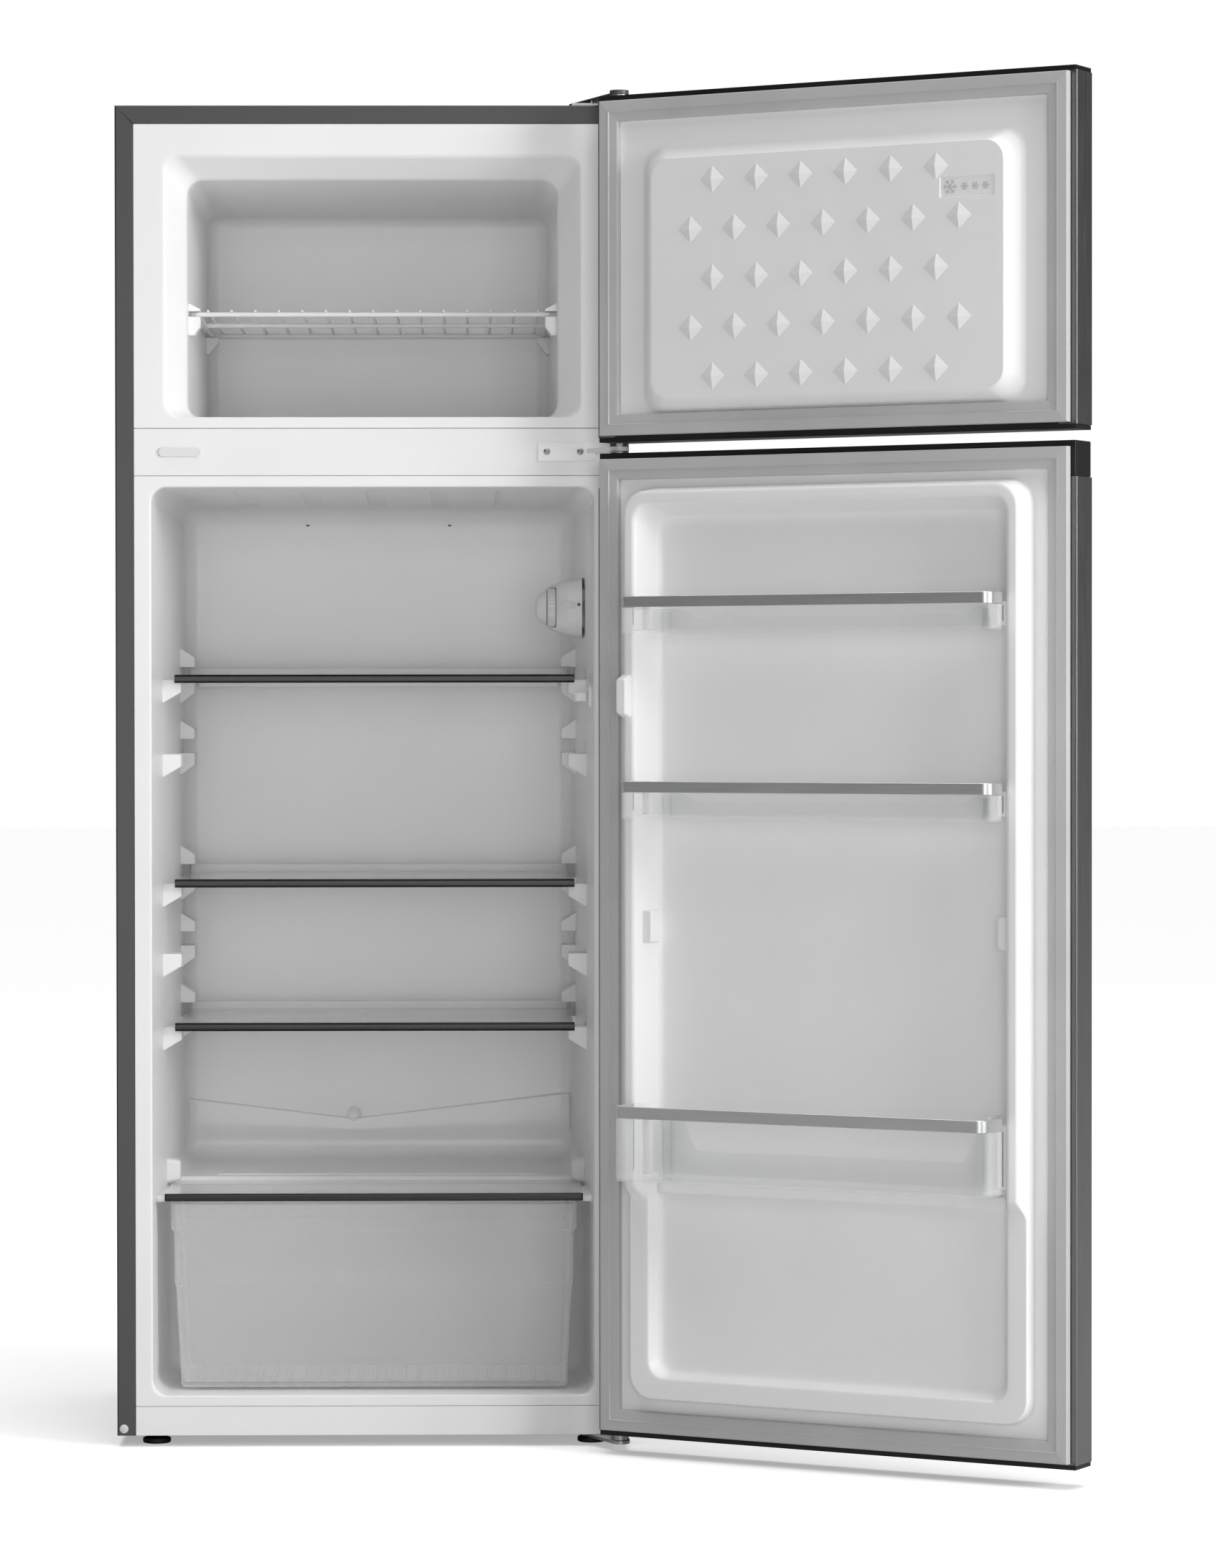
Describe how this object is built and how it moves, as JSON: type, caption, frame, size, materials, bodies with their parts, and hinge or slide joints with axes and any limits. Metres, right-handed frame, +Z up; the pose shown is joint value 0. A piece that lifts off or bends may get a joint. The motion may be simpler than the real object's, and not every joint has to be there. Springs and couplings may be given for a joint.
{
  "type": "top freezer refrigerator",
  "caption": "Upright top freezer refrigerator with both side-hung doors standing open, glass shelves, clear crisper drawer, door bins and a wire freezer shelf.",
  "frame": {"origin": "middle of the underside of the object's box at rest, on the floor", "axes": "+Z up, front of the cabinet towards -Y, hinges on the +X side"},
  "size_m": [1.003, 0.8684, 1.4348],
  "materials": {
    "dark_steel": "satin",
    "grey_sheet": "satin",
    "foam": "matte",
    "white_liner": "satin",
    "white_plastic": "satin",
    "white_paint": "satin",
    "zinc": "satin",
    "grey_plastic": "satin",
    "black_plastic": "matte",
    "black_steel": "satin",
    "copper": "satin",
    "aluminium": "satin",
    "shelf_glass": "gloss",
    "lamp_glass": "gloss",
    "shelf_trim": "satin",
    "bin_trim": "satin",
    "clear_plastic": "gloss",
    "white_wire": "satin",
    "gasket": "matte"
  },
  "bodies": {
    "cabinet": {"outer_shell": "dark_steel", "rear_panel": "grey_sheet", "cabinet_foam": "foam", "freezer_liner": "white_liner", "fridge_liner": "white_liner", "mid_rail": "white_plastic", "kick_panel": "white_plastic", "hinge_plug": "white_plastic", "top_hinge": "zinc", "top_hinge_cover": "grey_plastic", "mid_hinge": "white_paint", "mid_hinge_screw_1": "zinc", "mid_hinge_screw_2": "zinc", "bottom_hinge": "zinc", "rear_foot_left": "black_plastic", "rear_foot_right": "black_plastic", "compressor_plate": "zinc", "compressor": "black_steel", "relay_cover": "black_plastic", "drip_tray": "black_plastic", "filter_drier": "copper", "power_inlet": "black_plastic", "condenser": "black_steel", "condenser_bracket_lower": "black_plastic", "condenser_bracket_upper": "black_plastic", "freezer_evaporator": "aluminium", "thermostat_housing": "white_plastic", "lamp": "lamp_glass"},
    "freezer_door": {"freezer_door_skin": "dark_steel", "freezer_door_top_cap": "black_plastic", "freezer_door_bottom_cap": "black_plastic", "freezer_door_gasket": "gasket", "freezer_door_liner": "white_liner", "freezer_door_foam": "foam"},
    "fridge_door": {"fridge_door_skin": "dark_steel", "fridge_door_top_cap": "black_plastic", "fridge_door_bottom_cap": "black_plastic", "fridge_door_gasket": "gasket", "fridge_door_liner": "white_liner", "fridge_door_foam": "foam"},
    "bin_upper": {"bin_upper": "clear_plastic", "bin_trim_upper": "bin_trim"},
    "shelf_upper": {"shelf_glass_upper": "shelf_glass", "shelf_trim_upper": "shelf_trim"},
    "bin_middle": {"bin_middle": "clear_plastic", "bin_trim_middle": "bin_trim"},
    "shelf_middle": {"shelf_glass_middle": "shelf_glass", "shelf_trim_middle": "shelf_trim"},
    "bin_lower": {"bin_lower": "clear_plastic", "bin_trim_lower": "bin_trim"},
    "shelf_lower": {"shelf_glass_lower": "shelf_glass", "shelf_trim_lower": "shelf_trim"},
    "crisper_cover": {"crisper_cover": "shelf_glass", "crisper_cover_trim": "shelf_trim"},
    "crisper_drawer": {"crisper_drawer": "clear_plastic"},
    "wire_shelf": {"wire_shelf": "white_wire"},
    "thermostat_dial": {"thermostat_dial": "grey_plastic"},
    "light_switch": {"light_switch": "white_plastic"},
    "front_foot_left": {"front_foot_left": "black_plastic"},
    "front_foot_right": {"front_foot_right": "black_plastic"}
  },
  "joints": [
    {"name": "freezer_door_hinge", "type": "hinge", "parent": "cabinet", "child": "freezer_door", "pos_m": [0.03252, -0.10039, 1.245], "axis": [0, 0, 1], "range_deg": [-150, 0]},
    {"name": "fridge_door_hinge", "type": "hinge", "parent": "cabinet", "child": "fridge_door", "pos_m": [0.03252, -0.10039, 0.536], "axis": [0, 0, 1], "range_deg": [-150, 0]},
    {"name": "bin_upper_lift", "type": "slide", "parent": "fridge_door", "child": "bin_upper", "axis": [0, 0, 1], "range_m": [0, 0.05]},
    {"name": "shelf_upper_slide", "type": "slide", "parent": "cabinet", "child": "shelf_upper", "axis": [0, -1, 0], "range_m": [0, 0.2]},
    {"name": "bin_middle_lift", "type": "slide", "parent": "fridge_door", "child": "bin_middle", "axis": [0, 0, 1], "range_m": [0, 0.05]},
    {"name": "shelf_middle_slide", "type": "slide", "parent": "cabinet", "child": "shelf_middle", "axis": [0, -1, 0], "range_m": [0, 0.2]},
    {"name": "bin_lower_lift", "type": "slide", "parent": "fridge_door", "child": "bin_lower", "axis": [0, 0, 1], "range_m": [0, 0.05]},
    {"name": "shelf_lower_slide", "type": "slide", "parent": "cabinet", "child": "shelf_lower", "axis": [0, -1, 0], "range_m": [0, 0.2]},
    {"name": "crisper_cover_slide", "type": "slide", "parent": "cabinet", "child": "crisper_cover", "axis": [0, -1, 0], "range_m": [0, 0.12]},
    {"name": "crisper_drawer_slide", "type": "slide", "parent": "cabinet", "child": "crisper_drawer", "axis": [0, -1, 0], "range_m": [0, 0.14]},
    {"name": "wire_shelf_slide", "type": "slide", "parent": "cabinet", "child": "wire_shelf", "axis": [0, -1, 0], "range_m": [0, 0.22]},
    {"name": "thermostat_turn", "type": "hinge", "parent": "cabinet", "child": "thermostat_dial", "pos_m": [-0.03648, 0.10061, 0.895], "axis": [-1, 0, 0], "range_deg": [0, 270]},
    {"name": "light_switch_press", "type": "slide", "parent": "cabinet", "child": "light_switch", "axis": [0, 1, 0], "range_m": [0, 0.006], "stiffness_N_per_m": 150},
    {"name": "front_foot_left_screw", "type": "hinge", "parent": "cabinet", "child": "front_foot_left", "pos_m": [-0.46148, -0.02539, 0.006], "axis": [0, 0, 1], "continuous": true},
    {"name": "front_foot_right_screw", "type": "hinge", "parent": "cabinet", "child": "front_foot_right", "pos_m": [0.00352, -0.02539, 0.006], "axis": [0, 0, 1], "continuous": true}
  ]
}
